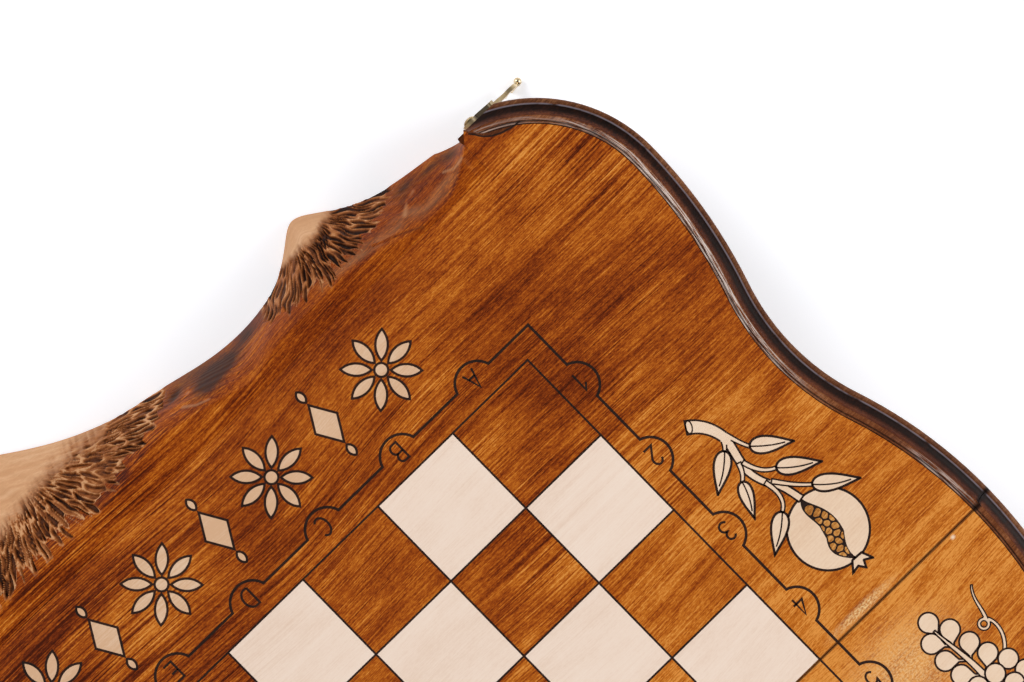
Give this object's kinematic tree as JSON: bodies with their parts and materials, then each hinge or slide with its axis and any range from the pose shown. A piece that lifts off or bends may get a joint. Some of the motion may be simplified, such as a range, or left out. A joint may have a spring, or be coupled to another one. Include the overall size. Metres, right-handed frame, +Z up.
{
  "type": "folding chess and backgammon board",
  "caption": "Folding wooden box board: chess squares outside, backgammon points inside, moulded curved sides, carved mountain fronts, swinging hooks.",
  "frame": {"origin": "middle of the fold, on the table the opened board lies on", "axes": "+X along the fold, from file A to file H; +Y from the half with the hooks to the other half; +Z up, out of the chess squares"},
  "size_m": [0.5684, 0.6646, 0.0466],
  "materials": {
    "stained_panel": "orange-brown stain under satin varnish",
    "dark_rail": "dark brown stain under gloss varnish",
    "carved_wood": "carved, stained dark in the cuts, satin varnish",
    "rail_wood": "stained, satin varnish",
    "pale_wood": "natural pale wood under satin varnish",
    "cream_inlay": "natural pale wood under satin varnish",
    "dark_inlay": "dark stain under satin varnish",
    "brass": "aged brass"
  },
  "bodies": {
    "near_half": {"near_playing_panel": "stained_panel", "near_left_side": "dark_rail", "near_right_side": "dark_rail", "near_mountain_front": "carved_wood", "near_spine": "rail_wood", "near_light_squares": "pale_wood", "near_rosette_band": "cream_inlay", "near_left_pomegranate": "cream_inlay", "near_right_pomegranate": "cream_inlay", "near_light_points": "pale_wood", "near_dark_points": "dark_inlay", "near_hinge_screws": "brass", "left_hinge_near_leaf": "brass", "left_hinge_pin": "brass", "right_hinge_near_leaf": "brass", "right_hinge_pin": "brass", "left_hook_plate": "brass", "left_hook_rivet": "brass", "right_hook_plate": "brass", "right_hook_rivet": "brass", "hook_plate_pins": "brass"},
    "far_half": {"far_playing_panel": "stained_panel", "far_left_side": "dark_rail", "far_right_side": "dark_rail", "far_mountain_front": "carved_wood", "far_spine": "rail_wood", "far_light_squares": "pale_wood", "far_rosette_band": "cream_inlay", "far_left_grapes": "cream_inlay", "far_right_grapes": "cream_inlay", "far_light_points": "pale_wood", "far_dark_points": "dark_inlay", "far_hinge_screws": "brass", "left_hinge_far_leaf": "brass", "right_hinge_far_leaf": "brass", "left_catch_plate": "brass", "left_catch_stud": "brass", "right_catch_plate": "brass", "right_catch_stud": "brass", "catch_plate_pins": "brass"},
    "left_hook": {"left_hook_arm": "brass"},
    "right_hook": {"right_hook_arm": "brass"}
  },
  "joints": [
    {"name": "fold", "type": "hinge", "parent": "near_half", "child": "far_half", "pos_m": [0, 0, 0.0016], "axis": [-1, 0, 0], "range_deg": [0, 180]},
    {"name": "left_hook_swing", "type": "hinge", "parent": "near_half", "child": "left_hook", "pos_m": [-0.235, -0.2732, 0.0156], "axis": [0, -1, 0], "range_deg": [0, 65.18]},
    {"name": "right_hook_swing", "type": "hinge", "parent": "near_half", "child": "right_hook", "pos_m": [0.235, -0.2732, 0.0156], "axis": [0, 1, 0], "range_deg": [0, 65.18]}
  ]
}
